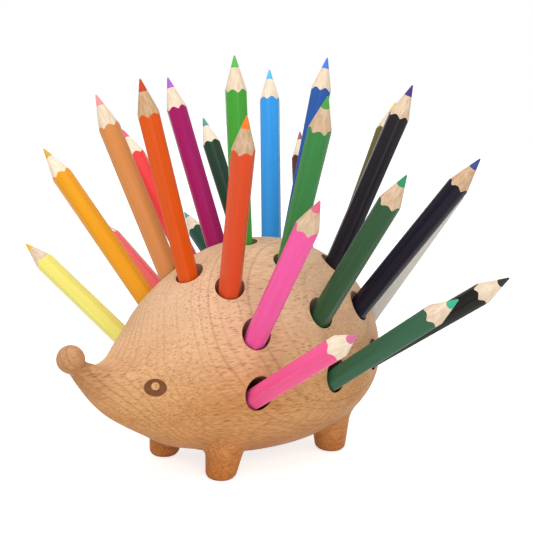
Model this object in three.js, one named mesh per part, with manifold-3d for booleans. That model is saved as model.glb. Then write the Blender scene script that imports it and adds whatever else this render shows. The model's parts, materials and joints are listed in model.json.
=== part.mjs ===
// A carved beech hedgehog that holds coloured pencils as its spines.
// Millimetres. X runs from the nose (-X) to the rump (+X), Z is up, and the feet stand on Z = 0.

import * as THREE from 'three';
import { mergeVertices } from 'three/addons/utils/BufferGeometryUtils.js';
import Module from 'manifold-3d';

const wasm = await Module();
wasm.setup();

// Body: an egg behind the shoulder, drawn out to a snout in front of it.
const bodyCentreX = 8;
const bodyHalfLength = 53;
const bodyHalfWidth = 36.8;
const flankHeight = 34;
const backRise = 45;
const bellyDrop = 30.5;
const bellyFullness = 2.4;
const shoulderAhead = 32;
const tailFlat = 0.05;

// Head sections from the tip of the snout back towards the shoulder, each as
// [x from the egg's centre, ridge, widest line, chin, half-width].
// Ridge, widest line and chin are heights above the egg's own widest line.
const headSections = [
  [-83, 11.5, 10.5, 9.5, 1],
  [-80.6, 11, 9, 7, 2.8],
  [-77, 11, 6.5, 2, 4],
  [-72, 9.05, 5, -4.1, 5.8],
  [-66, 7.25, 4.3, -9.6, 8.2],
  [-59, 9.25, 3.2, -14.2, 12.1],
  [-51, 16.3, 1.8, -18.7, 19],
  [-42, 28, 0.6, -23.5, 25.7],
];

// The crown of the snout is flatter than an ellipse, with soft corners over the cheeks.
const crownFlattest = 3.6;
const crownFlattestAhead = 64;
const crownFlatReach = 20;

// Nose ball at the snout's tip.
const noseRadius = 4.6;
const noseAhead = 80.6;
const noseRise = 11.8;

// Legs, carved from the same block: each tapers down to a rounded foot.
const footSpread = 15.5;
const legs = {
  front: { footX: -29.1, topLean: 3, footRadius: 5.05 },
  rear: { footX: 25.1, topLean: -1, footRadius: 5.4 },
};
const footRounding = 2.2;
const legTopRadius = 8;

// Eyes: a burnt oval ring, sunk a little into each cheek, around a bare glint.
const eyeAhead = 57;
const eyeTurn = 93.3;
const eyeHalfLength = 3.7;
const eyeHalfHeight = 3;
const eyeDepth = 0.5;
const glintRadius = 1.35;
const glintRise = 0.5;

// Coloured pencils: hexagonal wood around a round lead.
const pencilAcrossFlats = 7;
const sharpenedLength = 12.8;
const pointRadius = 0.3;
const leadRadius = 1.4;
const leadGap = 0.3;

// Holes for the pencils, all drilled to one depth. Each pencil lies on the lower side of its hole.
const holeDepth = 15;
const holeClearance = 0.96;
const restGap = 0.3;
const seatGap = 0.3;

// How far ahead of the rump's end the holes of the hip and the rump lie.
const hipRidgeAhead = 38.2;
const hipHighAhead = 31.9;
const hipMiddleAhead = 29;
const hipLowAhead = 23;
const rumpRidgeAhead = 13.6;
const rumpHighAhead = 11;

// Places of the holes, one on the ridge or a pair on the flanks: how far behind the egg's centre,
// and how far round the body in degrees (0 on the ridge, 90 on the widest line).
const places = {
  neckRidge: { behind: -32.8, turn: 0 },
  neckHigh: { behind: -28.2, turn: 30.5 },
  neckMiddle: { behind: -26.4, turn: 61 },
  neckLow: { behind: -27.2, turn: 91 },
  shoulderRidge: { behind: -8.4, turn: 0 },
  shoulderHigh: { behind: -4, turn: 29.3 },
  shoulderMiddle: { behind: 0.2, turn: 58.5 },
  shoulderLow: { behind: 4, turn: 87.5 },
  hipRidge: { behind: bodyHalfLength - hipRidgeAhead, turn: 0 },
  hipHigh: { behind: bodyHalfLength - hipHighAhead, turn: 28.3 },
  hipMiddle: { behind: bodyHalfLength - hipMiddleAhead, turn: 55.5 },
  hipLow: { behind: bodyHalfLength - hipLowAhead, turn: 83 },
  rumpRidge: { behind: bodyHalfLength - rumpRidgeAhead, turn: 0 },
  rumpHigh: { behind: bodyHalfLength - rumpHighAhead, turn: 50 },
};

// Each pencil: its name, its hole's place and flank (the hedgehog's left is -Y), how far it leans
// back and outwards and is turned about its own axis in degrees, how far it stands out of its hole,
// and the colours of its paint and its lead.
const pencils = [
  ['orange', 'neckRidge', 'right', -17.5, 2, 20, 69, 0xe05a18, 0xc8430f],
  ['vermilion', 'neckHigh', 'left', -15.5, 22.5, 0, 66.5, 0xe2552b, 0xff7f27],
  ['ochre', 'neckHigh', 'right', -14.5, 20, 55, 67.5, 0xdb8e4e, 0xf79a96],
  ['pink', 'neckMiddle', 'left', -14, 39.5, 25, 67.5, 0xff62ad, 0xe8688a],
  ['golden', 'neckMiddle', 'right', -17, 36.5, 50, 70.5, 0xefa31f, 0xe0a840],
  ['rose', 'neckLow', 'left', -13.5, 59, 35, 66.5, 0xff5c9a, 0xd86fa0],
  ['lemon', 'neckLow', 'right', -12.5, 58, 35, 68, 0xf4ea7a, 0xe8b830],
  ['light_green', 'shoulderRidge', 'right', -6, 0, 30, 65.5, 0x4ba53a, 0x5cbf55],
  ['green', 'shoulderHigh', 'left', -12, 26, 40, 67.5, 0x3f8f4c, 0x4fa045],
  ['magenta', 'shoulderHigh', 'right', -8, 18.5, 30, 65.5, 0xa81c66, 0xb060d0],
  ['dark_green', 'shoulderMiddle', 'left', -7, 38, 30, 67, 0x365f3d, 0x2e9560],
  ['red', 'shoulderMiddle', 'right', -8, 35, 0, 69, 0xf5433f, 0xf2607a],
  ['fir_green', 'shoulderLow', 'left', -4, 55, 45, 65, 0x3a6b4e, 0x3db890],
  ['salmon', 'shoulderLow', 'right', -10.5, 52.5, 0, 68, 0xf96a6a, 0xe05050],
  ['blue', 'hipRidge', 'left', 10.5, 1.5, 10, 68, 0x2f5ca8, 0x3a7fe0],
  ['violet', 'hipHigh', 'left', 12, 16.5, 20, 70, 0x231e26, 0x4b2c83],
  ['sky_blue', 'hipHigh', 'right', 8.5, 13.5, 0, 71, 0x3ba0f0, 0x55c5ff],
  ['navy', 'hipMiddle', 'left', 10, 35, 30, 70, 0x1b1826, 0x37478f],
  ['bottle_green', 'hipMiddle', 'right', 2, 31.5, 20, 72, 0x26402f, 0x5e9c94],
  ['black', 'hipLow', 'left', 2.5, 55.5, 0, 66, 0x262422, 0x2b2b2b],
  ['teal', 'hipLow', 'right', 4, 55, 0, 67, 0x1f4f3d, 0x5a9c9a],
  ['olive', 'rumpRidge', 'left', 22.5, 2, 0, 69.5, 0x6b6030, 0xf0cc30],
  ['white', 'rumpHigh', 'left', 16.5, 27, 0, 65, 0xdedad2, 0xe8e4dc],
  ['brown', 'rumpHigh', 'right', 15.5, 23, 0, 70, 0x5e2a26, 0xa06068],
];

// How finely the round shapes are faceted.
const bodySides = 32;
const bodyRings = 34;
const noseSides = 16;
const noseRings = 12;
const legSides = 14;
const holeSides = 12;
const leadSides = 10;
const coneSides = 24;
const lineSteps = 300;
const shoulderSteps = 5;

// Turns a three.js geometry into a solid.
function solidOf(geometry) {
  const bare = geometry.clone();
  bare.deleteAttribute('normal');
  bare.deleteAttribute('uv');
  const merged = mergeVertices(bare, 1e-4);
  return new wasm.Manifold(new wasm.Mesh({
    numProp: 3,
    vertProperties: new Float32Array(merged.attributes.position.array),
    triVerts: new Uint32Array(merged.index.array),
  }));
}

function geometryOf(solid) {
  const mesh = solid.getMesh();
  const geometry = new THREE.BufferGeometry();
  geometry.setAttribute('position', new THREE.BufferAttribute(new Float32Array(mesh.vertProperties), 3));
  geometry.setIndex(new THREE.BufferAttribute(new Uint32Array(mesh.triVerts), 1));
  geometry.computeVertexNormals();
  return geometry;
}

// Skins a stack of rings that run anticlockwise about the way the stack goes, and closes both ends.
function loft(rings) {
  const sides = rings[0].length;
  const middle = (ring) => ring.reduce((sum, p) => sum.add(p), new THREE.Vector3()).divideScalar(sides);
  const points = [...rings.flat(), middle(rings[0]), middle(rings.at(-1))];
  const faces = [];
  for (let j = 0; j < sides; j++) {
    const next = (j + 1) % sides;
    for (let i = 0; i + 1 < rings.length; i++) {
      const [a, b] = [i * sides + j, i * sides + next];
      const [c, d] = [b + sides, a + sides];
      faces.push(a, b, c, a, c, d);
    }
    const last = (rings.length - 1) * sides;
    faces.push(points.length - 2, next, j, points.length - 1, last + j, last + next);
  }
  const geometry = new THREE.BufferGeometry().setFromPoints(points);
  geometry.setIndex(faces);
  return geometry;
}

// A line along the body, as a function of the distance behind the egg's centre: a smooth curve
// through one column of the head's sections, which runs on into the egg at the shoulder.
function bodyLine(column, eggValue) {
  const points = headSections.map((section) => new THREE.Vector2(section[0], section[column]));
  for (let i = 0; i < shoulderSteps; i++) {
    const behind = -shoulderAhead * (1 - i / shoulderSteps);
    points.push(new THREE.Vector2(behind, eggValue(behind)));
  }
  const drawn = new THREE.SplineCurve(points).getPoints(lineSteps);
  return (behind) => {
    if (behind >= -shoulderAhead) return eggValue(behind);
    const after = drawn.findIndex((p) => p.x > behind);
    const [low, high] = [drawn[Math.max(0, after - 1)], drawn[after]];
    return THREE.MathUtils.mapLinear(behind, low.x, high.x, low.y, high.y);
  };
}

const eggShare = (behind) => Math.sqrt(Math.max(0, 1 - (behind / bodyHalfLength) ** 2));

// Ahead of the egg's centre the belly is fuller than an ellipse.
function bellyShare(behind) {
  const fullness = behind < 0 ? bellyFullness : 2;
  return Math.max(0, 1 - Math.abs(behind / bodyHalfLength) ** fullness) ** (1 / fullness);
}

const ridgeAt = bodyLine(1, (behind) => backRise * eggShare(behind));
const widestAt = bodyLine(2, () => 0);
const chinAt = bodyLine(3, (behind) => -bellyDrop * bellyShare(behind));
const halfWidthAt = bodyLine(4, (behind) => bodyHalfWidth * eggShare(behind));

function crownFullness(behind) {
  const near = Math.max(0, 1 - Math.abs(behind + crownFlattestAhead) / crownFlatReach);
  return THREE.MathUtils.lerp(2, crownFlattest, THREE.MathUtils.smoothstep(near, 0, 1));
}

// A point on the body's skin, turned from the ridge towards the -Y flank.
function skinPoint(behind, degrees) {
  const turn = THREE.MathUtils.degToRad(degrees);
  const [across, up] = [Math.sin(turn), Math.cos(turn)];
  const power = 2 / (up > 0 ? crownFullness(behind) : 2);
  const widest = widestAt(behind);
  const reach = up > 0 ? ridgeAt(behind) - widest : widest - chinAt(behind);
  return new THREE.Vector3(
    bodyCentreX + behind,
    -Math.sign(across) * Math.abs(across) ** power * halfWidthAt(behind),
    flankHeight + widest + Math.sign(up) * Math.abs(up) ** power * reach,
  );
}

function skinNormal(behind, degrees) {
  const step = 0.5;
  const along = skinPoint(behind + step, degrees).sub(skinPoint(behind - step, degrees));
  const around = skinPoint(behind, degrees + step).sub(skinPoint(behind, degrees - step));
  return around.cross(along).normalize();
}

// The rings lie closer together towards the snout and the tail.
function carvedSkin() {
  const rings = [];
  for (let i = 0; i <= bodyRings; i++) {
    const share = (1 - Math.cos(Math.PI * i / bodyRings)) / 2;
    const behind = THREE.MathUtils.lerp(headSections[0][0], bodyHalfLength - tailFlat, share);
    rings.push(Array.from({ length: bodySides }, (_, j) => skinPoint(behind, j * 360 / bodySides)));
  }
  return solidOf(loft(rings));
}

// A leg runs up into the body, to half way between the belly and the widest line.
function leg({ footX, topLean, footRadius }, flank) {
  const top = flankHeight - bellyDrop / 2;
  const eased = footRounding * (1 - Math.SQRT1_2);
  const outline = [[0, footRadius - footRounding], [eased, footRadius - eased],
    [footRounding, footRadius], [top, legTopRadius]];
  const rings = outline.map(([z, radius]) => {
    const centreX = bodyCentreX + footX + topLean * z / top;
    return Array.from({ length: legSides }, (_, j) => {
      const angle = j * 2 * Math.PI / legSides;
      return new THREE.Vector3(
        centreX + radius * Math.cos(angle), flank * footSpread + radius * Math.sin(angle), z);
    });
  });
  return solidOf(loft(rings));
}

// A rod that stands on the origin along Z.
function rod(radius, length, sides) {
  const geometry = new THREE.CylinderGeometry(radius, radius, length, sides);
  return geometry.rotateX(Math.PI / 2).translate(0, 0, length / 2);
}

// The matrix that stands a piece made along Z at a point, along a direction.
function standing(point, direction) {
  const turn = new THREE.Quaternion().setFromUnitVectors(new THREE.Vector3(0, 0, 1), direction);
  return new THREE.Matrix4().compose(point, turn, new THREE.Vector3(1, 1, 1));
}

// The cutter for an eye stands on the eye's floor, and its glint runs right through it.
function eyeRing(flank) {
  const outward = skinNormal(-eyeAhead, -flank * eyeTurn);
  const level = new THREE.Vector3(0, 0, 1).cross(outward).normalize();
  const upright = outward.clone().cross(level);
  const floor = skinPoint(-eyeAhead, -flank * eyeTurn).addScaledVector(outward, -eyeDepth);
  const place = new THREE.Matrix4().makeBasis(level, upright, outward).setPosition(floor);
  const reach = eyeHalfLength;
  const oval = rod(eyeHalfLength, reach, coneSides).scale(1, eyeHalfHeight / eyeHalfLength, 1);
  const glint = rod(glintRadius, reach + 2 * eyeDepth, holeSides).translate(0, glintRise, -eyeDepth);
  return solidOf(oval.applyMatrix4(place)).subtract(solidOf(glint.applyMatrix4(place)));
}

const pencilCornerRadius = pencilAcrossFlats / Math.sqrt(3);
const holeRadius = (pencilCornerRadius + holeClearance) / Math.cos(Math.PI / holeSides);

// The bottom of each pencil's hole, and the way the pencil points.
function holeOf([, place, flank, leanBack, leanOut]) {
  const { behind, turn } = places[place];
  const side = flank === 'left' ? -1 : 1;
  const back = THREE.MathUtils.degToRad(leanBack);
  const out = THREE.MathUtils.degToRad(leanOut) * side;
  const direction = new THREE.Vector3(
    Math.sin(back), Math.cos(back) * Math.sin(out), Math.cos(back) * Math.cos(out));
  const mouth = skinPoint(behind, -side * turn);
  return { direction, bottom: mouth.addScaledVector(direction, -holeDepth) };
}

// Where the end of the pencil's axis rests: just off the hole's bottom, and down at its lower side.
function seatOf(pencil) {
  const { direction, bottom } = holeOf(pencil);
  const downhill = new THREE.Vector3(0, 0, -1).projectOnPlane(direction).normalize();
  return bottom.addScaledVector(direction, seatGap).addScaledVector(downhill, holeClearance - restGap);
}

function hedgehogBody() {
  const nose = new THREE.SphereGeometry(noseRadius, noseSides, noseRings);
  nose.translate(bodyCentreX - noseAhead, 0, flankHeight + noseRise);
  let body = carvedSkin().add(solidOf(nose));
  for (const flank of [-1, 1]) {
    body = body.add(leg(legs.front, flank)).add(leg(legs.rear, flank)).subtract(eyeRing(flank));
  }
  for (const pencil of pencils) {
    const { direction, bottom } = holeOf(pencil);
    const drill = rod(holeRadius, 2 * holeDepth, holeSides).applyMatrix4(standing(bottom, direction));
    body = body.subtract(solidOf(drill));
  }
  return geometryOf(body);
}

// How much a sharpened pencil's radius grows for each millimetre back from its point.
const pointSlope = (pencilAcrossFlats / 2 + pencilCornerRadius) / 2 / sharpenedLength;

// A round stick that stands on the origin and ends in a blunted point.
function sharpenedStick(radius, length, sides) {
  const outline = [[0, 0], [radius, 0], [radius, length - radius / pointSlope],
    [pointRadius, length - pointRadius / pointSlope], [0, length - pointRadius / pointSlope]];
  const profile = outline.map(([across, up]) => new THREE.Vector2(across, up));
  return solidOf(new THREE.LatheGeometry(profile, sides).rotateX(Math.PI / 2));
}

function pencilGroup(pencil) {
  const [name, , , , , turned, standsOut, paintColour, leadColour] = pencil;
  const length = holeDepth - seatGap + standsOut;
  const hexagon = solidOf(rod(pencilCornerRadius, length, 6));
  const bore = solidOf(rod(leadRadius + leadGap, 2 * length, holeSides).translate(0, 0, -length / 2));
  const wood = hexagon.intersect(sharpenedStick(pencilAcrossFlats, length, coneSides)).subtract(bore);
  const lead = sharpenedStick(leadRadius, length, leadSides);

  const paint = new THREE.MeshStandardMaterial({ color: paintColour, roughness: 0.35 });
  const pigment = new THREE.MeshStandardMaterial({ color: leadColour, roughness: 0.7 });
  const woodMesh = new THREE.Mesh(geometryOf(wood), paint);
  const leadMesh = new THREE.Mesh(geometryOf(lead), pigment);
  woodMesh.name = `${name}_pencil_wood`;
  leadMesh.name = `${name}_pencil_lead`;

  const group = new THREE.Group();
  group.add(woodMesh, leadMesh);
  group.rotateZ(THREE.MathUtils.degToRad(turned));
  group.applyMatrix4(standing(seatOf(pencil), holeOf(pencil).direction));
  return group;
}

const beech = new THREE.MeshStandardMaterial({ color: 0xdeb48a, roughness: 0.6 });
const body = new THREE.Mesh(hedgehogBody(), beech);
body.name = 'hedgehog_body';

const hedgehog = new THREE.Group();
hedgehog.add(body, ...pencils.map(pencilGroup));

export default hedgehog;
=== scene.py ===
"""A carved beech hedgehog that holds a set of coloured pencils. Metres, Z up."""

import json
import math

import bmesh
import bpy
import numpy as np
from mathutils import Matrix, Vector


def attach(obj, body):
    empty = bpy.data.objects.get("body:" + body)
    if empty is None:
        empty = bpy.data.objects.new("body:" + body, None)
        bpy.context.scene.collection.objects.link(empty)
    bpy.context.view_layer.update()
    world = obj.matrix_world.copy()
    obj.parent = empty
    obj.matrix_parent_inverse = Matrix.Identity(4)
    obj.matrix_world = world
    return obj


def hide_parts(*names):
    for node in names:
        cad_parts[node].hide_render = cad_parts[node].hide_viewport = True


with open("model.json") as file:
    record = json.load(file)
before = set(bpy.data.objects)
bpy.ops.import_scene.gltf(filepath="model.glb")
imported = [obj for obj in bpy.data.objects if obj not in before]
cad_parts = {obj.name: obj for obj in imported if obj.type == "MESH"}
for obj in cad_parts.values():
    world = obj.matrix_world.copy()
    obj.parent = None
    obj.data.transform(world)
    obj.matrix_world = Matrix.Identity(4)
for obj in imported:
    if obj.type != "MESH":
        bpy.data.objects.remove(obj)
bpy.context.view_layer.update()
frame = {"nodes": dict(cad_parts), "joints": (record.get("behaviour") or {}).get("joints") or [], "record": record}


def placed(name, data):
    """A mesh, a lamp or a camera put in the scene as a new object."""
    item = bpy.data.objects.new(name, data)
    bpy.context.collection.objects.link(item)
    return item


# Camera.
# A longish lens a little above the desk, ahead of the hedgehog's left shoulder.
# The picture is square, and very slightly rolled.
camera_spot = (-0.2913, -0.3171, 0.1440)
camera_azimuth = math.radians(-43.67)
camera_elevation = math.radians(9.80)
camera_roll = math.radians(2.42)

camera_data = bpy.data.cameras.new("camera")
camera_data.lens = 83.46
camera_data.sensor_width = 36
camera_data.clip_start = 0.01
camera = placed("camera", camera_data)
camera.matrix_world = (
    Matrix.Translation(camera_spot)
    @ Matrix.Rotation(camera_azimuth, 4, "Z")
    @ Matrix.Rotation(math.pi / 2 - camera_elevation, 4, "X")
    @ Matrix.Rotation(camera_roll, 4, "Z")
)
bpy.context.scene.camera = camera
bpy.context.scene.view_settings.view_transform = "Standard"


# Desk.
# A plain pale sheet that runs out of sight under the hedgehog. It looks white to the camera, and
# still takes the hedgehog's soft shadow.
def linear(hex_colour):
    """A colour as it is written on a screen, such as "deb48a", as the shaders' linear one."""
    shares = [int(hex_colour[i:i + 2], 16) / 255 for i in (0, 2, 4)]
    return [s / 12.92 if s <= 0.04045 else ((s + 0.055) / 1.055) ** 2.4 for s in shares] + [1]


def add_node(tree, kind, inputs=None, **settings):
    """A new node with its settings, and a value or another node's socket for each named input."""
    node = tree.nodes.new(kind)
    for name, value in settings.items():
        setattr(node, name, value)
    for name, value in (inputs or {}).items():
        if isinstance(value, bpy.types.NodeSocket):
            tree.links.new(value, node.inputs[name])
        else:
            node.inputs[name].default_value = value
    return node


def maths(tree, operation, *values):
    """What one Math node makes of the values."""
    return add_node(tree, "ShaderNodeMath", dict(enumerate(values)), operation=operation).outputs[0]


def new_material(name):
    """A new material, its node tree and its Principled shader."""
    material = bpy.data.materials.new(name)
    material.use_nodes = True
    return material, material.node_tree, material.node_tree.nodes["Principled BSDF"]


desk_colour = "e6e4e0"
desk_glow = 0.72
desk_half_width = 1.5


def seen_straight(tree):
    """1 for what the camera sees straight, in gloss or through glass, 0 for light that spreads."""
    path = add_node(tree, "ShaderNodeLightPath")
    seen = maths(tree, "MAXIMUM", path.outputs["Is Camera Ray"], path.outputs["Is Glossy Ray"])
    return maths(tree, "MAXIMUM", seen, path.outputs["Is Transmission Ray"])


desk_material, tree, shader = new_material("desk_sheet")
shader.inputs["Base Color"].default_value = linear(desk_colour)
shader.inputs["Roughness"].default_value = 0.9
shader.inputs["Specular IOR Level"].default_value = 0.0
shader.inputs["Emission Color"].default_value = (1, 1, 1, 1)
tree.links.new(
    maths(tree, "MULTIPLY", seen_straight(tree), desk_glow), shader.inputs["Emission Strength"])
desk_mesh = bpy.data.meshes.new("desk")
corners = [(-1, -1), (1, -1), (1, 1), (-1, 1)]
desk_mesh.from_pydata(
    [(x * desk_half_width, y * desk_half_width, 0) for x, y in corners], [], [range(4)])
desk_mesh.materials.append(desk_material)
placed("desk", desk_mesh)


# Light.
# A white studio: an even white surround, a broad soft light overhead and another over the
# camera's right shoulder. Only the surround's look, not its light, is full white.
surround_strength = 0.60
overhead_spot = (-0.25, -0.05, 0.70)
overhead_width = 0.6
overhead_watts = 2.5
front_spot = (-0.44, -0.67, 0.26)
front_width = 0.5
front_watts = 2.1
lit_spot = (0, 0, 0.04)

world = bpy.data.worlds.new("studio")
world.use_nodes = True
bpy.context.scene.world = world
tree = world.node_tree
tree.nodes.clear()
strength = add_node(tree, "ShaderNodeMapRange", {
    "Value": seen_straight(tree), "To Min": surround_strength, "To Max": 1.0})
surround = add_node(
    tree, "ShaderNodeBackground", {"Color": (1, 1, 1, 1), "Strength": strength.outputs[0]})
add_node(tree, "ShaderNodeOutputWorld", {"Surface": surround.outputs[0]})


def soft_light(name, spot, width, watts):
    """A square soft light at a spot, turned to the middle of the body."""
    lamp = bpy.data.lights.new(name, "AREA")
    lamp.size = width
    lamp.energy = watts
    aim = Vector(lit_spot) - Vector(spot)
    turned = aim.to_track_quat("-Z", "Y").to_matrix().to_4x4()
    placed(name, lamp).matrix_world = Matrix.Translation(spot) @ turned


soft_light("overhead", overhead_spot, overhead_width, overhead_watts)
soft_light("front", front_spot, front_width, front_watts)


# Hedgehog body.
# One block of beech, shaped and sanded: an egg behind the shoulder, drawn out to a snout with a
# ball nose, on four short legs that flow into the belly. Heights run up from the widest line.
body_centre_x = 0.008
body_half_length = 0.053
body_half_width = 0.0368
flank_height = 0.034
back_rise = 0.045
belly_drop = 0.0305
belly_fullness = 2.4
shoulder_ahead = 0.032
shoulder_steps = 5

# Head sections: how far behind the egg's centre (ahead of it is negative), then the ridge, the
# widest line, the chin and the half-width.
head_sections = 0.001 * np.array([
    [-83, 11.5, 10.5, 9.5, 1],
    [-80.6, 11, 9, 7, 2.8],
    [-77, 11, 6.5, 2, 4],
    [-72, 9.05, 5, -4.1, 5.8],
    [-66, 7.25, 4.3, -9.6, 8.2],
    [-59, 9.25, 3.2, -14.2, 12.1],
    [-51, 16.3, 1.8, -18.7, 19],
    [-42, 28, 0.6, -23.5, 25.7],
])
tip_radius = 0.001
crown_flattest = 3.6
crown_flattest_ahead = 0.064
crown_flat_reach = 0.020

nose_radius = 0.0046
nose_centre = (body_centre_x - 0.0806, 0, flank_height + 0.0118)

# Front and rear legs: where the foot stands, how far the leg's top leans back, the foot's radius.
foot_spread = 0.0155
foot_rounding = 0.0022
leg_top_radius = 0.008
leg_top = flank_height - belly_drop / 2
legs = [(body_centre_x - 0.0291, 0.003, 0.00505), (body_centre_x + 0.0251, -0.001, 0.0054)]
leg_fillet = 0.0022
nose_fillet = 0.0012


def drawn_line(points, steps=24):
    """A smooth curve through the points, as many close points."""
    padded = np.vstack([points[:1], points, points[-1:]])
    t = np.linspace(0, 1, steps, endpoint=False)[:, None]
    pieces = []
    for a, b, c, d in zip(padded, padded[1:], padded[2:], padded[3:]):
        leaving, arriving = (c - a) / 2, (d - b) / 2
        cubic = 2 * b - 2 * c + leaving + arriving
        square = 3 * c - 3 * b - 2 * leaving - arriving
        pieces.append(cubic * t**3 + square * t**2 + leaving * t + b)
    return np.vstack(pieces + [points[-1:]])


def body_line(column, egg_height, fullness=2):
    """A line along the head that runs on into the egg at the shoulder, as a function. Ahead of its
    centre the egg can be fuller than an ellipse."""
    def on_egg(behind):
        power = np.where(behind < 0, fullness, 2)
        return egg_height * np.maximum(0, 1 - np.abs(behind / body_half_length) ** power) ** (1 / power)

    joining = np.linspace(-shoulder_ahead, 0, shoulder_steps, endpoint=False)
    points = np.vstack([head_sections[:, [0, column]], np.column_stack([joining, on_egg(joining)])])
    drawn = drawn_line(points)

    def height(behind):
        on_head = np.interp(behind, drawn[:, 0], drawn[:, 1])
        return np.where(behind >= -shoulder_ahead, on_egg(behind), on_head)
    return height


ridge_at = body_line(1, back_rise)
widest_at = body_line(2, 0)
chin_at = body_line(3, -belly_drop, belly_fullness)
half_width_at = body_line(4, body_half_width)


def crown_fullness(behind):
    near = np.clip(1 - np.abs(behind + crown_flattest_ahead) / crown_flat_reach, 0, 1)
    return 2 + (crown_flattest - 2) * near**2 * (3 - 2 * near)


def skin_point(behind, turn):
    """A point on the body's skin, turned from the ridge towards the left flank, in radians."""
    across, up = np.sin(turn), np.cos(turn)
    power = 2 / np.where(up > 0, crown_fullness(behind), 2)
    widest = widest_at(behind)
    reach = np.where(up > 0, ridge_at(behind) - widest, widest - chin_at(behind))
    return np.stack([
        body_centre_x + behind + 0 * turn,
        -np.sign(across) * np.abs(across) ** power * half_width_at(behind),
        flank_height + widest + np.sign(up) * np.abs(up) ** power * reach,
    ], axis=-1)


def skin_level(p):
    """Below 1 inside the skin, 1 on it and more outside."""
    behind = p[:, 0] - body_centre_x
    inside_head = np.maximum(behind, head_sections[0, 0])
    widest = widest_at(inside_head)
    above = p[:, 2] - flank_height - widest
    up = above > 0
    reach = np.where(up, ridge_at(inside_head) - widest, widest - chin_at(inside_head))
    power = np.where(up, crown_fullness(inside_head), 2)
    across_share = np.abs(p[:, 1]) / np.maximum(half_width_at(inside_head), 1e-5)
    up_share = np.abs(above) / np.maximum(reach, 1e-5)
    on_head = (across_share**power + up_share**power) ** (1 / power)
    on_head = on_head + np.maximum(0, head_sections[0, 0] - behind) / tip_radius
    flat_up = (p[:, 2] - flank_height) / np.where(p[:, 2] > flank_height, back_rise, belly_drop)
    on_egg = np.sqrt((behind / body_half_length) ** 2 + (p[:, 1] / body_half_width) ** 2 + flat_up**2)
    return np.where(behind >= np.where(up, -shoulder_ahead, 0), on_egg, on_head)


def slope_of(field, p, step=2e-5):
    """How fast a field changes along each axis, at each point."""
    shifts = step * np.eye(3)
    return np.stack([(field(p + s) - field(p - s)) / (2 * step) for s in shifts], axis=1)


def skin_gap(p):
    """Roughly how far each point lies outside the skin."""
    slope = np.linalg.norm(slope_of(skin_level, p), axis=1)
    return (skin_level(p) - 1) / np.maximum(slope, 1)


def rounded_corner(a, b, radius):
    """The part that is inside both, with the corner between them rounded."""
    over = np.maximum(np.stack([a, b]) + radius, 0)
    return np.minimum(np.maximum(a, b), -radius) + np.linalg.norm(over, axis=0)


def filleted(a, b, radius):
    """The part that is inside either, with the corner between them filled."""
    under = np.maximum(radius - np.stack([a, b]), 0)
    return np.maximum(np.minimum(a, b), radius) - np.linalg.norm(under, axis=0)


def leg_gap(p, foot_x, lean, foot_radius):
    """How far each point lies outside a front or rear leg, on either flank."""
    share = np.clip(p[:, 2] / leg_top, 0, 1)
    sideways = np.abs(p[:, 1]) - foot_spread
    radius = foot_radius + (leg_top_radius - foot_radius) * share
    side = np.hypot(p[:, 0] - foot_x - lean * share, sideways) - radius
    rounded = rounded_corner(side, -p[:, 2], foot_rounding)
    return np.maximum(rounded, p[:, 2] - leg_top)


def body_gap(p):
    """How far each point lies outside the whole carved block."""
    gap = skin_gap(p)
    for leg in legs:
        gap = filleted(gap, leg_gap(p, *leg), leg_fillet)
    nose = np.linalg.norm(p - nose_centre, axis=1) - nose_radius
    return filleted(gap, nose, nose_fillet)


def onto_block(p, rounds):
    """The points moved onto the block's surface."""
    for _ in range(rounds):
        slope = slope_of(body_gap, p)
        steepness = np.maximum(np.sum(slope**2, axis=1), 0.25)
        p = p - slope * (body_gap(p) / steepness)[:, None]
    return p


def corners_of(mesh):
    """A mesh's corners as an array."""
    flat = np.empty(3 * len(mesh.vertices))
    mesh.vertices.foreach_get("co", flat)
    return flat.reshape(-1, 3)


def set_corners(mesh, p):
    mesh.vertices.foreach_set("co", p.ravel())
    mesh.update()


def evaluated_mesh(piece):
    """What a piece's modifiers make of it, as a plain mesh."""
    depsgraph = bpy.context.evaluated_depsgraph_get()
    return bpy.data.meshes.new_from_object(piece.evaluated_get(depsgraph), depsgraph=depsgraph)


# The rough block: the skin, the nose and the legs as closed shapes that run into each other,
# remeshed as one. Its corners are then eased along the surface and set onto the true block.
skin_rings = 120
skin_sides = 96
rump_ring = 0.9995 * body_half_length
block_grain = 0.0007
easing_rounds = 4

rough = bmesh.new()
share = (1 - np.cos(np.linspace(0, math.pi, skin_rings))) / 2
behinds = head_sections[0, 0] + share * (rump_ring - head_sections[0, 0])
turns = np.linspace(0, 2 * math.pi, skin_sides, endpoint=False)
rings = [[rough.verts.new(c) for c in skin_point(np.full(skin_sides, b), turns)] for b in behinds]
for ring, after in zip(rings, rings[1:]):
    for j in range(skin_sides):
        rough.faces.new([ring[j - 1], ring[j], after[j], after[j - 1]])
rough.faces.new(rings[0])
rough.faces.new(reversed(rings[-1]))
bmesh.ops.create_icosphere(
    rough, subdivisions=4, radius=nose_radius, matrix=Matrix.Translation(nose_centre))
for foot_x, lean, foot_radius in legs:
    for flank in (-1, 1):
        middle = Matrix.Translation((foot_x + lean / 2, flank * foot_spread, leg_top / 2))
        bmesh.ops.create_cone(
            rough, cap_ends=True, segments=48, radius1=foot_radius, radius2=leg_top_radius,
            depth=leg_top, matrix=middle)
bmesh.ops.recalc_face_normals(rough, faces=rough.faces)
rough_mesh = bpy.data.meshes.new("rough_block")
rough.to_mesh(rough_mesh)
rough.free()
block = placed("rough_block", rough_mesh)
remesh = block.modifiers.new("one_block", "REMESH")
remesh.mode = "VOXEL"
remesh.voxel_size = block_grain
body_mesh = evaluated_mesh(block)
bpy.data.objects.remove(block)

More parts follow.
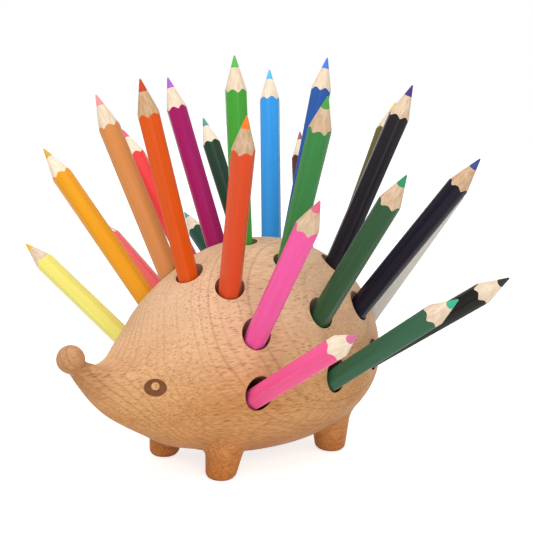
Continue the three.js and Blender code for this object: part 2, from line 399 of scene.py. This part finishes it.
edges = np.empty(2 * len(body_mesh.edges), int)
body_mesh.edges.foreach_get("vertices", edges)
edges = edges.reshape(-1, 2)
points = onto_block(corners_of(body_mesh), 3)
neighbours = np.bincount(edges.ravel(), minlength=len(points))[:, None]
for _ in range(easing_rounds):
    total = np.zeros_like(points)
    np.add.at(total, edges[:, 0], points[edges[:, 1]])
    np.add.at(total, edges[:, 1], points[edges[:, 0]])
    points = onto_block((points + total / neighbours) / 2, 2)
set_corners(body_mesh, points)

# Eyes: an oval burnt into each cheek with a hot stamp, a little below the surface, round a bare
# glint. The mesh is made finer there first, and "burnt" says how charred each corner is.
eye_ahead = 0.057
eye_turn = math.radians(93.3)
eye_half_length = 0.0037
eye_half_height = 0.0030
eye_depth = 0.00035
eye_edge = 0.00035
glint_radius = 0.00135
glint_rise = 0.0005
eye_reach = 0.0060

eyes = []
for flank in (-1, 1):
    centre = skin_point(np.array([-eye_ahead]), np.array([-flank * eye_turn]))
    outward = slope_of(body_gap, centre)[0]
    outward = outward / np.linalg.norm(outward)
    level = np.cross((0, 0, 1), outward)
    level = level / np.linalg.norm(level)
    eyes.append((centre[0], outward, level, np.cross(outward, level)))

fine = bmesh.new()
fine.from_mesh(body_mesh)
for _ in range(2):
    near = [e for e in fine.edges
            if any((e.verts[0].co - Vector(centre)).length < eye_reach for centre, *_ in eyes)]
    bmesh.ops.subdivide_edges(fine, edges=near, cuts=1, use_grid_fill=True)
bmesh.ops.triangulate(fine, faces=[f for f in fine.faces if len(f.verts) > 4])
fine.to_mesh(body_mesh)
fine.free()

points = corners_of(body_mesh)
burnt = np.zeros(len(points))
for centre, outward, level, upright in eyes:
    near = np.flatnonzero(np.linalg.norm(points - centre, axis=1) < 1.3 * eye_reach)
    points[near] = onto_block(points[near], 2)
    away = points[near] - centre
    across, up = away @ level, away @ upright
    oval = (np.hypot(across / eye_half_length, up / eye_half_height) - 1) * eye_half_height
    glint = glint_radius - np.hypot(across, up - glint_rise)
    char = np.clip(0.5 - np.maximum(oval, glint) / eye_edge, 0, 1)
    char = char**2 * (3 - 2 * char)
    burnt[near] = np.maximum(burnt[near], char)
    points[near] -= outward * (eye_depth * char)[:, None]
set_corners(body_mesh, points)
body_mesh.attributes.new("burnt", "FLOAT", "POINT").data.foreach_set("value", burnt)

# Holes: one for each pencil, all drilled to one depth with a flat-bottomed bit, in line with the
# way the pencil slides out. The pencils stand as in the model, on the lower side of their holes.
hole_radius = 0.0050
pencil_drop = 0.00066
seat_gap = 0.0003
hole_sides = 48
hole_reach = 0.030


def standing_of(name, axis):
    """The matrix that stands a piece made along Z where a pencil stands, its X at a corner of the
    casing, and the pencil's length."""
    wood = np.unique(corners_of(frame["nodes"][name + "_wood"].data).round(7), axis=0)
    lead = corners_of(frame["nodes"][name + "_lead"].data)
    along = wood @ axis
    ring = wood[along < along.min() + 1e-5]
    foot = (ring.max(axis=0) + ring.min(axis=0)) / 2
    corner = ring[np.argmax(np.linalg.norm(ring - foot, axis=1))] - foot
    corner = corner / np.linalg.norm(corner)
    turned = np.column_stack([corner, np.cross(axis, corner), axis, foot])
    return Matrix(np.vstack([turned, (0, 0, 0, 1)])), float(np.ptp(lead @ axis))


pencils = {}
for joint in frame["joints"]:
    axis = np.array(joint["axis"])
    pencils[joint["child"]] = standing_of(joint["child"], axis / np.linalg.norm(axis))

drill = bmesh.new()
for standing, _ in pencils.values():
    axis = standing.to_3x3() @ Vector((0, 0, 1))
    uphill = (Vector((0, 0, 1)) - axis.z * axis).normalized()
    middle = Matrix.Translation((0, 0, hole_reach / 2 - seat_gap))
    bmesh.ops.create_cone(
        drill, cap_ends=True, segments=hole_sides, radius1=hole_radius, radius2=hole_radius,
        depth=hole_reach, matrix=Matrix.Translation(pencil_drop * uphill) @ standing @ middle)
drill_mesh = bpy.data.meshes.new("drill")
drill.to_mesh(drill_mesh)
drill.free()


# The block's wood: how the growth rings lie, the size of the pores' flecks, the grain's slant, and
# where the tone changes: painted shade low down, a painted sheen up on the back, a darker snout tip.
ring_facing = (0.16, -0.85, 0.50)
ring_spacing = 0.0021
ring_waver = 0.012
ring_darkness = 0.46
fleck_length = 0.0042
fleck_width = 0.00060
fleck_darkness = 0.75
pore_depth = 0.00010
grain_rise = math.radians(4)
grain_turn = math.radians(17)
# Painted shade: low down the wood is tinted darker and redder, most at the feet.
painted_shade_tint = (0.92, 0.68, 0.48, 1)
painted_shade_top = 0.024
# Painted sheen: higher up the wood is paled towards the next colour, most on top of the back.
high_colour = "f5dcc4"
painted_sheen_full_height = 0.066
painted_sheen_share = 0.38
snout_tint = (0.74, 0.65, 0.56, 1)
snout_start = -0.056
snout_end = -0.072


def mixed(tree, kind, share, first, second, way="MIX"):
    """A number (FLOAT) or a colour (RGBA), moved by a share from the first towards the second."""
    socket = {"FLOAT": 2, "RGBA": 6}[kind]
    node = add_node(tree, "ShaderNodeMix", {0: share, socket: first, socket + 1: second},
                    data_type=kind, blend_type=way)
    return node.outputs[{"FLOAT": 0, "RGBA": 2}[kind]]


def wood_material(name, pale, dark, fleck, contrast):
    """Beech: fine growth rings, fibres and short dark flecks along the grain, which runs nearly
    with X. A painted sheen makes it paler up on the back, painted shade makes it redder down at
    the feet, and it is darker towards the snout's tip."""
    material, tree, shader = new_material(name)
    spot = add_node(tree, "ShaderNodeTexCoord").outputs["Object"]
    grain = add_node(tree, "ShaderNodeMapping", {
        "Vector": spot, "Rotation": (0, grain_rise, grain_turn)}).outputs[0]

    def stretched(along, across):
        return add_node(tree, "ShaderNodeMapping", {
            "Vector": grain, "Scale": (along, across, across)}).outputs[0]

    def noise(vector, scale, detail=2.0, rough=0.5):
        return add_node(tree, "ShaderNodeTexNoise", {
            "Vector": vector, "Scale": scale, "Detail": detail, "Roughness": rough}).outputs[0]

    def mapped(value, low, high, to_low=0.0, to_high=1.0):
        return add_node(tree, "ShaderNodeMapRange", {
            "Value": value, "From Min": low, "From Max": high,
            "To Min": to_low, "To Max": to_high}, interpolation_type="SMOOTHSTEP").outputs[0]

    # Broad patches and fine fibres move the colour between the pale and the dark tone.
    patches = noise(stretched(25, 70), 1.0, 3.0)
    fibres = noise(stretched(220, 1500), 1.0, 3.0, 0.65)
    tone = mixed(tree, "FLOAT", 0.6, patches, fibres)
    colour = mixed(tree, "RGBA", mapped(tone, 0.36, 0.64), linear(dark), linear(pale))

    # Painted shade low down, a painted sheen up on the back, and a darker snout tip.
    place = add_node(tree, "ShaderNodeSeparateXYZ", {"Vector": spot}).outputs
    low = mapped(place["Z"], painted_shade_top, 0.0)
    high = mapped(place["Z"], painted_shade_top, painted_sheen_full_height, 0.0, painted_sheen_share)
    snout = mapped(place["X"], snout_start, snout_end)
    colour = mixed(tree, "RGBA", low, colour, painted_shade_tint, "MULTIPLY")
    colour = mixed(tree, "RGBA", high, colour, linear(high_colour))
    colour = mixed(tree, "RGBA", snout, colour, snout_tint, "MULTIPLY")

    # Growth rings: thin darker lines between them, of uneven strength, broken up by the fibres.
    depth = add_node(tree, "ShaderNodeVectorMath", {0: spot, 1: ring_facing}, operation="DOT_PRODUCT")
    waver = maths(tree, "MULTIPLY", noise(stretched(8, 14), 1.0, 2.0), ring_waver)
    ring = maths(tree, "DIVIDE", maths(tree, "ADD", depth.outputs["Value"], waver), ring_spacing)
    strength = add_node(tree, "ShaderNodeTexNoise", {
        "W": maths(tree, "FLOOR", ring), "Scale": 5.31}, noise_dimensions="1D").outputs[0]
    late = mapped(maths(tree, "FRACT", ring), 0.65, 0.97)
    late = maths(tree, "MULTIPLY", late, mapped(strength, 0.38, 0.68, 0.12))
    late = maths(tree, "MULTIPLY", late, mapped(fibres, 0.35, 0.62, 0.7, 1.0))
    late = maths(tree, "MULTIPLY", late, ring_darkness * contrast)
    colour = mixed(tree, "RGBA", late, colour, linear(fleck))

    # Flecks: slim pores along the grain, thicker on the ground in some patches.
    cells = add_node(tree, "ShaderNodeTexVoronoi", {
        "Vector": stretched(1 / fleck_length, 1 / fleck_width), "Scale": 1.0})
    dashes = mapped(cells.outputs["Distance"], 0.40, 0.16)
    crowd = mapped(noise(stretched(60, 110), 1.0, 2.0), 0.3, 0.7, 0.5, 1.0)
    dashes = maths(tree, "MULTIPLY", dashes, crowd)
    darker = maths(tree, "MULTIPLY", dashes, fleck_darkness * contrast)
    colour = mixed(tree, "RGBA", darker, colour, linear(fleck))

    relief = maths(tree, "SUBTRACT", maths(tree, "MULTIPLY", fibres, 0.4), dashes)
    bump = add_node(tree, "ShaderNodeBump",
                    {"Height": relief, "Strength": 0.25, "Distance": pore_depth})
    tree.links.new(colour, shader.inputs["Base Color"])
    tree.links.new(bump.outputs[0], shader.inputs["Normal"])
    tree.links.new(mapped(tone, 0.3, 0.7, 0.50, 0.40), shader.inputs["Roughness"])
    shader.inputs["Specular IOR Level"].default_value = 0.06
    return material, tree, shader, colour


beech_material, tree, shader, colour = wood_material("beech", "dda975", "c38a52", "7c4a2c", 0.75)
burnt = add_node(tree, "ShaderNodeAttribute", attribute_name="burnt").outputs["Fac"]
soot = add_node(tree, "ShaderNodeTexNoise", {"Scale": 900.0, "Detail": 3.0}).outputs[0]
tree.links.new(add_node(tree, "ShaderNodeTexCoord").outputs["Object"], soot.node.inputs["Vector"])
char_colour = mixed(tree, "RGBA", soot, linear("5f3a22"), linear("8d5c3c"))
tree.links.new(mixed(tree, "RGBA", burnt, colour, char_colour), shader.inputs["Base Color"])
# Darker beech for the holes' walls: painted shade down in the bores.
shaded_bore_material = wood_material("drilled_beech_painted_shade", "8a5236", "5a3020", "381a0c", 0.6)[0]

drill_mesh.materials.append(shaded_bore_material)
cutter = placed("drill", drill_mesh)
body_mesh.materials.append(beech_material)
block = placed("solid_block", body_mesh)
drilling = block.modifiers.new("holes", "BOOLEAN")
drilling.operation = "DIFFERENCE"
drilling.solver = "EXACT"
drilling.material_mode = "TRANSFER"
drilling.object = cutter
drilled_mesh = evaluated_mesh(block)
bpy.data.objects.remove(block)
bpy.data.objects.remove(cutter)

drilled_mesh.polygons.foreach_set("use_smooth", [True] * len(drilled_mesh.polygons))
drilled_mesh.set_sharp_from_angle(angle=math.radians(40))
hedgehog = placed("carved_hedgehog", drilled_mesh)
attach(hedgehog, "hedgehog")
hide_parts("hedgehog_body")


# Pencil casings.
# Hexagonal sticks of pale limewood, dipped in gloss paint and sharpened in a cone that leaves the
# paint's edge in scallops. Each is a tube round its lead, flat at the foot.
across_flats = 0.007
corner_sharpness = 12.0
corner_crowding = 0.75
sharpened_length = 0.0128
lead_radius = 0.0014
point_radius = 0.0003
around = 96
cone_rows = 4
point_slope = (across_flats / 2 + across_flats / math.sqrt(3)) / 2 / sharpened_length
blunting = point_radius / point_slope


def new_tree(name, inputs):
    """A Geometry Nodes tree with named inputs and a geometry output, and its two end nodes."""
    tree = bpy.data.node_groups.new(name, "GeometryNodeTree")
    for label, kind in inputs.items():
        tree.interface.new_socket(label, in_out="INPUT", socket_type=kind)
    tree.interface.new_socket("Geometry", in_out="OUTPUT", socket_type="NodeSocketGeometry")
    return tree, tree.nodes.new("NodeGroupInput"), tree.nodes.new("NodeGroupOutput")


def captured(tree, geometry, value):
    """The geometry with a number kept on its points, and that number."""
    node = add_node(tree, "GeometryNodeCaptureAttribute", {"Geometry": geometry})
    node.capture_items.new("FLOAT", "kept")
    tree.links.new(value, node.inputs[1])
    return node.outputs["Geometry"], node.outputs[1]


def cone_height(tree, given, reach):
    """How high up the pencil the sharpened cone is at this reach from the axis."""
    below_tip = maths(tree, "DIVIDE", reach, given["Point Slope"])
    return maths(tree, "SUBTRACT", given["Length"], below_tip)


def cone_reach(tree, given, height):
    """How far from the axis the sharpened cone is at this height."""
    below_tip = maths(tree, "SUBTRACT", given["Length"], height)
    return maths(tree, "MULTIPLY", below_tip, given["Point Slope"])


tree, given, result = new_tree("sharpened_casing", {
    "Length": "NodeSocketFloat", "Across Flats": "NodeSocketFloat", "Point Slope": "NodeSocketFloat",
    "Lead Radius": "NodeSocketFloat", "Wood Tone": "NodeSocketFloat", "Paint": "NodeSocketMaterial",
    "Bare Wood": "NodeSocketMaterial"})
given = given.outputs
index = add_node(tree, "GeometryNodeInputIndex").outputs[0]

# Round the pencil, with the points closer together at the six corners.
turn = maths(tree, "MULTIPLY", index, 2 * math.pi / around)
wave = maths(tree, "SINE", maths(tree, "MULTIPLY", turn, 6.0))
closer = maths(tree, "MULTIPLY", wave, corner_crowding / 6)
turn = maths(tree, "SUBTRACT", turn, closer)
circle = add_node(tree, "GeometryNodeCurvePrimitiveCircle", {"Resolution": around, "Radius": 0.001})
profile, turn = captured(tree, circle.outputs[0], turn)
circle = add_node(tree, "GeometryNodeCurvePrimitiveCircle", {"Resolution": cone_rows + 3})
path, row = captured(tree, circle.outputs[0], index)
tube = add_node(tree, "GeometryNodeCurveToMesh", {"Curve": path, "Profile Curve": profile}).outputs[0]

# A hexagon with softened corners, as a distance from the axis.
powers = None
for k in range(3):
    facing = maths(tree, "COSINE", maths(tree, "SUBTRACT", turn, math.radians(30 + 60 * k)))
    power = maths(tree, "POWER", maths(tree, "ABSOLUTE", facing), corner_sharpness)
    powers = power if powers is None else maths(tree, "ADD", powers, power)
half_flats = maths(tree, "MULTIPLY", given["Across Flats"], 0.5)
hexagon = maths(tree, "DIVIDE", half_flats, maths(tree, "POWER", powers, 1 / corner_sharpness))

# Row 0 is the foot, row 1 the paint's edge, then the cone up to the lead, and the bore's foot last.
paint_end = cone_height(tree, given, hexagon)
cone_end = cone_height(tree, given, given["Lead Radius"])
first = add_node(tree, "ShaderNodeClamp", {"Value": row}).outputs[0]
cone_share = add_node(tree, "ShaderNodeMapRange", {
    "Value": row, "From Min": 1.0, "From Max": 1.0 + cone_rows}).outputs[0]
height = mixed(tree, "FLOAT", cone_share, maths(tree, "MULTIPLY", first, paint_end), cone_end)
radius = maths(tree, "MINIMUM", hexagon, cone_reach(tree, given, height))
in_bore = maths(tree, "GREATER_THAN", row, cone_rows + 1.5)
height = mixed(tree, "FLOAT", in_bore, height, 0.0)
radius = mixed(tree, "FLOAT", in_bore, radius, given["Lead Radius"])
place = add_node(tree, "ShaderNodeCombineXYZ", {
    "X": maths(tree, "MULTIPLY", radius, maths(tree, "COSINE", turn)),
    "Y": maths(tree, "MULTIPLY", radius, maths(tree, "SINE", turn)),
    "Z": height})
tube = add_node(tree, "GeometryNodeSetPosition", {
    "Geometry": tube, "Position": place.outputs[0]}).outputs[0]
tube = add_node(tree, "GeometryNodeStoreNamedAttribute", {
    "Geometry": tube, "Name": "wood_tone", "Value": given["Wood Tone"]}).outputs[0]
tube = add_node(tree, "GeometryNodeRealizeInstances", {"Geometry": tube}).outputs[0]
tube = add_node(tree, "GeometryNodeSetMaterial", {
    "Geometry": tube, "Material": given["Bare Wood"]}).outputs[0]
painted = add_node(
    tree, "FunctionNodeCompare", {"A": row, "B": 1.0}, data_type="FLOAT", operation="LESS_THAN")
tube = add_node(tree, "GeometryNodeSetMaterial", {
    "Geometry": tube, "Selection": painted.outputs[0], "Material": given["Paint"]}).outputs[0]
tree.links.new(tube, result.inputs[0])
casing_tree = tree

# Each pencil's streaks are shifted by this many times its place, so that no two look alike.
stick_shift = 7


def grown(name, tree, standing, values):
    """The mesh that a tree makes with these inputs, stood in its place, as a finished piece. Its
    "stick" keeps where each point was on the pencil, for the streaks."""
    piece = placed(name, bpy.data.meshes.new(name))
    modifier = piece.modifiers.new(name, "NODES")
    modifier.node_group = tree
    for socket in tree.interface.items_tree:
        if socket.in_out == "INPUT":
            modifier[socket.identifier] = values[socket.name]
    mesh = evaluated_mesh(piece)
    piece.modifiers.remove(modifier)
    tidy = bmesh.new()
    tidy.from_mesh(mesh)
    bmesh.ops.remove_doubles(tidy, verts=tidy.verts, dist=1e-6)
    bmesh.ops.recalc_face_normals(tidy, faces=tidy.faces)
    tidy.to_mesh(mesh)
    tidy.free()
    stick = corners_of(mesh) + stick_shift * np.array(standing.translation)
    mesh.attributes.new("stick", "FLOAT_VECTOR", "POINT").data.foreach_set("vector", stick.ravel())
    mesh.transform(standing)
    mesh.polygons.foreach_set("use_smooth", [True] * len(mesh.polygons))
    mesh.set_sharp_from_angle(angle=math.radians(25))
    piece.data = mesh
    return piece


def slot_colour(slot):
    """The record's own colour for a slot, as the shaders' linear one."""
    entry = next(m for m in frame["record"]["materials"] if m["slot"] == slot)
    return linear("".join(f"{round(255 * c):02x}" for c in entry["base_color"]))


def along_stick(tree, along, across, detail):
    """Noise that runs along a pencil, so many times finer across it."""
    stick = add_node(tree, "ShaderNodeAttribute", attribute_name="stick").outputs["Vector"]
    stretched = add_node(tree, "ShaderNodeMapping", {"Vector": stick, "Scale": (across, across, along)})
    return add_node(tree, "ShaderNodeTexNoise", {
        "Vector": stretched.outputs[0], "Scale": 1.0, "Detail": detail}).outputs[0]


def two_tone(tree, shader, share, low_colour, high_colour):
    """The base colour as a mix of two."""
    shade = mixed(tree, "RGBA", share, low_colour, high_colour)
    tree.links.new(shade, shader.inputs["Base Color"])


def scaled(colour, factor):
    """A colour made darker or brighter, up to full strength."""
    return [min(1, factor * c) for c in colour[:3]] + [1]


def paint_material(colour_name):
    """Gloss paint: faint streaks along the pencil where it was drawn through the paint, and a
    slightly uneven gloss."""
    material, tree, shader = new_material(colour_name + "_paint")
    colour = slot_colour(colour_name + "_paint")
    streaks = along_stick(tree, 30.0, 1400.0, 3.0)
    two_tone(tree, shader, streaks, scaled(colour, 0.82), scaled(colour, 1.06))
    bump = add_node(tree, "ShaderNodeBump", {"Height": streaks, "Strength": 0.15, "Distance": 0.00004})
    tree.links.new(bump.outputs[0], shader.inputs["Normal"])
    clouds = along_stick(tree, 120.0, 300.0, 2.0)
    gloss = add_node(tree, "ShaderNodeMapRange", {"Value": clouds, "To Min": 0.18, "To Max": 0.32})
    tree.links.new(gloss.outputs[0], shader.inputs["Roughness"])
    shader.inputs["Specular IOR Level"].default_value = 0.13
    return material


def bare_wood_material():
    """Freshly cut wood: pale, with brown streaks along the pencil. Each pencil has its own tone."""
    material, tree, shader = new_material("bare_limewood")
    streaks = along_stick(tree, 90.0, 1100.0, 4.0)
    tone = add_node(tree, "ShaderNodeAttribute", attribute_name="wood_tone").outputs["Fac"]
    share = maths(tree, "ADD", maths(tree, "SUBTRACT", streaks, 0.5), tone)
    share = add_node(tree, "ShaderNodeClamp", {"Value": share}).outputs[0]
    two_tone(tree, shader, share, linear("bf9468"), linear("f8e8d0"))
    bump = add_node(tree, "ShaderNodeBump", {"Height": streaks, "Strength": 0.3, "Distance": 0.0001})
    tree.links.new(bump.outputs[0], shader.inputs["Normal"])
    shader.inputs["Roughness"].default_value = 0.65
    shader.inputs["Specular IOR Level"].default_value = 0.25
    return material


# How pale each pencil's bare wood is, from tan at 0 to cream at 1.
wood_tones = {
    "orange": 0.15, "vermilion": 0.25, "ochre": 0.7, "pink": 0.4, "golden": 0.9, "rose": 0.85,
    "lemon": 0.6, "light_green": 0.7, "green": 0.35, "magenta": 0.8, "dark_green": 0.4, "red": 1.0,
    "fir_green": 0.7, "salmon": 0.8, "blue": 0.7, "violet": 0.5, "sky_blue": 0.85, "navy": 0.25,
    "bottle_green": 0.95, "black": 0.8, "teal": 0.85, "olive": 0.7, "white": 0.6, "brown": 0.9,
}

bare_wood = bare_wood_material()
for body, (standing, length) in pencils.items():
    colour_name = body.removesuffix("_pencil")
    casing = grown(body + "_casing", casing_tree, standing, {
        "Length": length + blunting, "Across Flats": across_flats, "Point Slope": point_slope,
        "Lead Radius": lead_radius, "Wood Tone": wood_tones[colour_name],
        "Paint": paint_material(colour_name), "Bare Wood": bare_wood})
    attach(casing, body)
    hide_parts(body + "_wood")


# Pencil leads.
# A round rod of waxy pigment, glued in the casing from end to end and cut with it to a point,
# which writing has rounded a little.
lead_sides = 32
lead_rows = 16

tree, given, result = new_tree("sharpened_lead", {
    "Length": "NodeSocketFloat", "Point Slope": "NodeSocketFloat", "Lead Radius": "NodeSocketFloat",
    "Point Radius": "NodeSocketFloat", "Pigment": "NodeSocketMaterial"})
given = given.outputs
rod = add_node(tree, "GeometryNodeMeshCylinder", {
    "Vertices": lead_sides, "Side Segments": lead_rows, "Radius": 1.0, "Depth": 1.0}).outputs["Mesh"]
spot = add_node(tree, "ShaderNodeSeparateXYZ", {
    "Vector": add_node(tree, "GeometryNodeInputPosition").outputs[0]}).outputs

# The point is a ball that touches the cone all round, so it ends short of the cone's own tip.
squared = maths(tree, "POWER", given["Point Slope"], -2.0)
stretch = maths(tree, "SQRT", maths(tree, "ADD", squared, 1.0))
below_tip = maths(tree, "MULTIPLY", given["Point Radius"], stretch)
ball = maths(tree, "SUBTRACT", given["Length"], below_tip)
touching = maths(tree, "ADD", ball, maths(tree, "DIVIDE", given["Point Radius"], stretch))
tip = maths(tree, "ADD", ball, given["Point Radius"])

# Row 0 is the foot, row 1 the start of the cone. Above it the rows close up towards the tip.
up_share = maths(tree, "ADD", spot["Z"], 0.5)
point_share = add_node(tree, "ShaderNodeMapRange", {
    "Value": up_share, "From Min": 1 / lead_rows, "From Max": 1.0}).outputs[0]
left = maths(tree, "SUBTRACT", 1.0, point_share)
point_share = maths(tree, "SUBTRACT", 1.0, maths(tree, "MULTIPLY", left, left))
on_point = maths(tree, "GREATER_THAN", up_share, 0.5 / lead_rows)
cone_start = cone_height(tree, given, given["Lead Radius"])
height = mixed(tree, "FLOAT", point_share, cone_start, tip)
height = maths(tree, "MULTIPLY", on_point, height)

above_ball = maths(tree, "DIVIDE", maths(tree, "SUBTRACT", height, ball), given["Point Radius"])
flatness = maths(tree, "SUBTRACT", 1.0, maths(tree, "MULTIPLY", above_ball, above_ball))
across = maths(tree, "SQRT", maths(tree, "MAXIMUM", flatness, 0.0))
round_part = maths(tree, "MULTIPLY", given["Point Radius"], across)
on_ball = maths(tree, "GREATER_THAN", height, touching)
radius = mixed(tree, "FLOAT", on_ball, cone_reach(tree, given, height), round_part)
radius = maths(tree, "MINIMUM", given["Lead Radius"], radius)
place = add_node(tree, "ShaderNodeCombineXYZ", {
    "X": maths(tree, "MULTIPLY", radius, spot["X"]),
    "Y": maths(tree, "MULTIPLY", radius, spot["Y"]),
    "Z": height})
rod = add_node(tree, "GeometryNodeSetPosition", {
    "Geometry": rod, "Position": place.outputs[0]}).outputs[0]
rod = add_node(tree, "GeometryNodeRealizeInstances", {"Geometry": rod}).outputs[0]
rod = add_node(tree, "GeometryNodeSetMaterial", {
    "Geometry": rod, "Material": given["Pigment"]}).outputs[0]
tree.links.new(rod, result.inputs[0])
lead_tree = tree


def pigment_material(colour_name):
    """Waxy pigment: nearly matt, and a little gritty from the sharpener's blade."""
    material, tree, shader = new_material(colour_name + "_pigment")
    colour = slot_colour(colour_name + "_pigment")
    grit = along_stick(tree, 900.0, 2500.0, 3.0)
    two_tone(tree, shader, grit, scaled(colour, 0.8), scaled(colour, 1.15))
    bump = add_node(tree, "ShaderNodeBump", {"Height": grit, "Strength": 0.3, "Distance": 0.00008})
    tree.links.new(bump.outputs[0], shader.inputs["Normal"])
    shader.inputs["Roughness"].default_value = 0.5
    shader.inputs["Specular IOR Level"].default_value = 0.3
    return material


for body, (standing, length) in pencils.items():
    colour_name = body.removesuffix("_pencil")
    lead = grown(body + "_core", lead_tree, standing, {
        "Length": length + blunting, "Point Slope": point_slope, "Lead Radius": lead_radius,
        "Point Radius": point_radius, "Pigment": pigment_material(colour_name)})
    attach(lead, body)
    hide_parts(body + "_lead")
